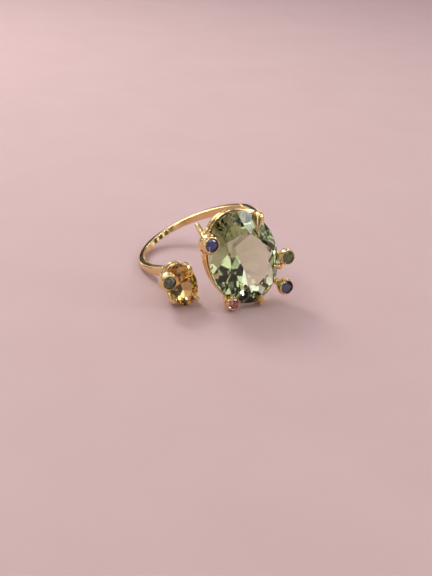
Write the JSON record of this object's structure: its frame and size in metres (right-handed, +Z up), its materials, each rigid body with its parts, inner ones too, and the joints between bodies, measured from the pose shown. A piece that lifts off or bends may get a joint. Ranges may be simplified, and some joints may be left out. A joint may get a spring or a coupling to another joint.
{
  "type": "cocktail ring",
  "caption": "Open adjustable cocktail ring: large oval faceted stone in a claw and bezel gallery, with a small oval stone on the band's free end.",
  "frame": {"origin": "on the table, under the middle of the ring's box, with the ring lying on its side as it rests", "axes": "+Z up from the table, +X level towards the head, in the direction of the large stone's face"},
  "size_m": [0.0276, 0.0228, 0.0147],
  "materials": {
    "yellow_gold": "polished",
    "green_quartz": "faceted, polished",
    "citrine": "faceted, polished",
    "blue_accent": "faceted, polished",
    "green_accent": "faceted, polished",
    "pink_accent": "faceted, polished"
  },
  "bodies": {
    "head_and_band": {"accent_stone_lower_left": "pink_accent", "accent_stone_lower_right": "blue_accent", "accent_stone_right": "green_accent", "accent_stone_upper_left": "blue_accent", "bezel_lower_left": "yellow_gold", "bezel_lower_right": "yellow_gold", "bezel_right": "yellow_gold", "bezel_upper_left": "yellow_gold", "centre_stone": "green_quartz", "claw_bottom": "yellow_gold", "claw_right": "yellow_gold", "claw_upper_right": "yellow_gold", "gallery_lower_rail": "yellow_gold", "gallery_upper_rail": "yellow_gold", "prong_lower_left": "yellow_gold", "prong_lower_right": "yellow_gold", "prong_right": "yellow_gold", "prong_upper_left": "yellow_gold", "shank": "yellow_gold"},
    "free_end": {"terminal_accent_stone_upper_left": "green_accent", "terminal_bezel_upper_left": "yellow_gold", "terminal_claw_lower_left": "yellow_gold", "terminal_claw_lower_right": "yellow_gold", "terminal_claw_upper_right": "yellow_gold", "terminal_lower_rail": "yellow_gold", "terminal_prong_upper_left": "yellow_gold", "terminal_saddle": "yellow_gold", "terminal_stone": "citrine", "terminal_upper_rail": "yellow_gold"}
  },
  "joints": [
    {"name": "band_flex", "type": "hinge", "parent": "head_and_band", "child": "free_end", "pos_m": [-0.0124, -0.00158, 0.00169], "axis": [0.1935, 0.3605, -0.9125], "range_deg": [-1.5, 6], "stiffness_Nm_per_rad": 0.35, "deforming": ["shank"]}
  ]
}
